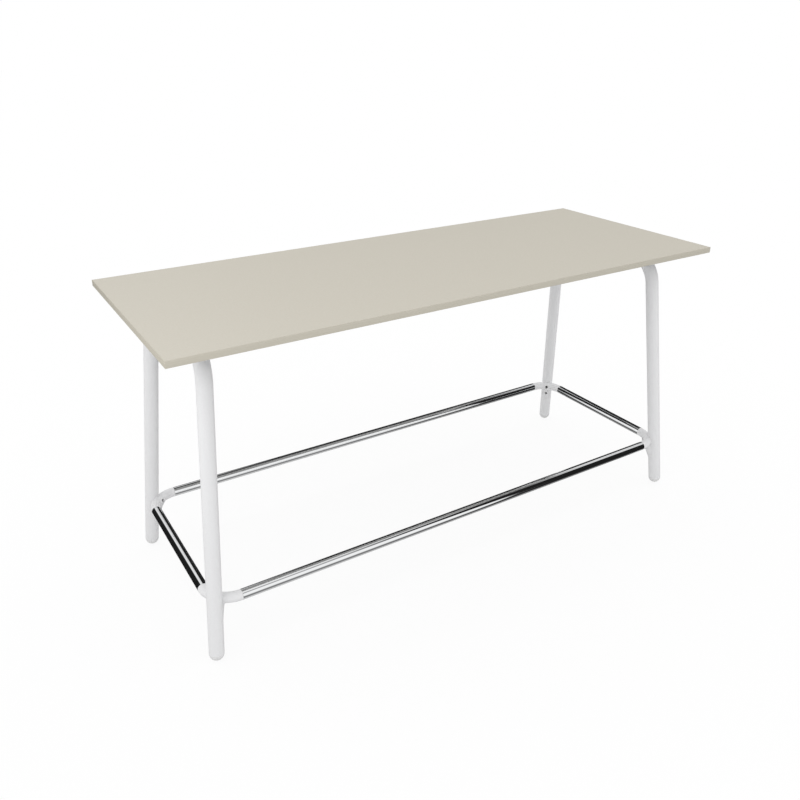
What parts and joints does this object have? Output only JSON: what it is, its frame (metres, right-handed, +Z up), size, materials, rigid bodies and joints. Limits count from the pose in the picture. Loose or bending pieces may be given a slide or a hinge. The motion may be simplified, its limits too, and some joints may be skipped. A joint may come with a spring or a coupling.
{
  "type": "standing meeting table",
  "caption": "Long standing-height meeting table: thin greige board on white splayed bent-tube end frames, with a chrome foot-rail ring joined by cast corners and levelling feet.",
  "frame": {"origin": "on the floor under the middle of the top", "axes": "+X along the table's length to the right end, +Y to the back, +Z up"},
  "size_m": [1.8, 0.7, 0.905],
  "materials": {
    "top_panel": "greige melamine facing, matt",
    "edge_band": "greige plastic edging, matt",
    "powder_coat": "white powder coat, satin",
    "chrome_rail": "bright chrome plate",
    "black_bolt": "black oxide",
    "zinc_steel": "bright zinc plate",
    "foot_glide": "light grey moulded plastic",
    "leg_plug": "black moulded plastic"
  },
  "bodies": {
    "table": {"top_panel": "top_panel", "edge_band_front": "edge_band", "edge_band_right": "edge_band", "edge_band_back": "edge_band", "edge_band_left": "edge_band", "frame_tube_left": "powder_coat", "frame_tube_right": "powder_coat", "mounting_plate_front_left": "powder_coat", "mounting_plate_front_right": "powder_coat", "mounting_plate_back_left": "powder_coat", "mounting_plate_back_right": "powder_coat", "stiffener_front": "powder_coat", "stiffener_back": "powder_coat", "corner_connector_front_left": "powder_coat", "corner_connector_front_right": "powder_coat", "corner_connector_back_left": "powder_coat", "corner_connector_back_right": "powder_coat", "foot_rail_front": "chrome_rail", "foot_rail_back": "chrome_rail", "foot_rail_left": "chrome_rail", "foot_rail_right": "chrome_rail", "connector_bolt_upper_front_left": "black_bolt", "connector_bolt_upper_front_right": "black_bolt", "connector_bolt_upper_back_left": "black_bolt", "connector_bolt_upper_back_right": "black_bolt", "connector_bolt_lower_front_left": "black_bolt", "connector_bolt_lower_front_right": "black_bolt", "connector_bolt_lower_back_left": "black_bolt", "connector_bolt_lower_back_right": "black_bolt", "plate_screw_front_left_inner": "zinc_steel", "plate_screw_front_left_outer": "zinc_steel", "plate_screw_front_right_inner": "zinc_steel", "plate_screw_front_right_outer": "zinc_steel", "plate_screw_back_left_inner": "zinc_steel", "plate_screw_back_left_outer": "zinc_steel", "plate_screw_back_right_inner": "zinc_steel", "plate_screw_back_right_outer": "zinc_steel", "stiffener_screw_front_1": "zinc_steel", "stiffener_screw_front_2": "zinc_steel", "stiffener_screw_front_3": "zinc_steel", "stiffener_screw_front_4": "zinc_steel", "stiffener_screw_back_1": "zinc_steel", "stiffener_screw_back_2": "zinc_steel", "stiffener_screw_back_3": "zinc_steel", "stiffener_screw_back_4": "zinc_steel", "foot_insert_front_left": "leg_plug", "foot_insert_front_right": "leg_plug", "foot_insert_back_left": "leg_plug", "foot_insert_back_right": "leg_plug"},
    "foot_front_left": {"foot_dome_front_left": "foot_glide", "foot_stem_front_left": "zinc_steel"},
    "foot_front_right": {"foot_dome_front_right": "foot_glide", "foot_stem_front_right": "zinc_steel"},
    "foot_back_left": {"foot_dome_back_left": "foot_glide", "foot_stem_back_left": "zinc_steel"},
    "foot_back_right": {"foot_dome_back_right": "foot_glide", "foot_stem_back_right": "zinc_steel"}
  },
  "joints": [
    {"name": "level_front_left", "type": "slide", "parent": "table", "child": "foot_front_left", "axis": [-0.104, -0.1045, -0.9891], "range_m": [0, 0.01]},
    {"name": "level_front_right", "type": "slide", "parent": "table", "child": "foot_front_right", "axis": [0.104, -0.1045, -0.9891], "range_m": [0, 0.01]},
    {"name": "level_back_left", "type": "slide", "parent": "table", "child": "foot_back_left", "axis": [-0.104, 0.1045, -0.9891], "range_m": [0, 0.01]},
    {"name": "level_back_right", "type": "slide", "parent": "table", "child": "foot_back_right", "axis": [0.104, 0.1045, -0.9891], "range_m": [0, 0.01]}
  ]
}
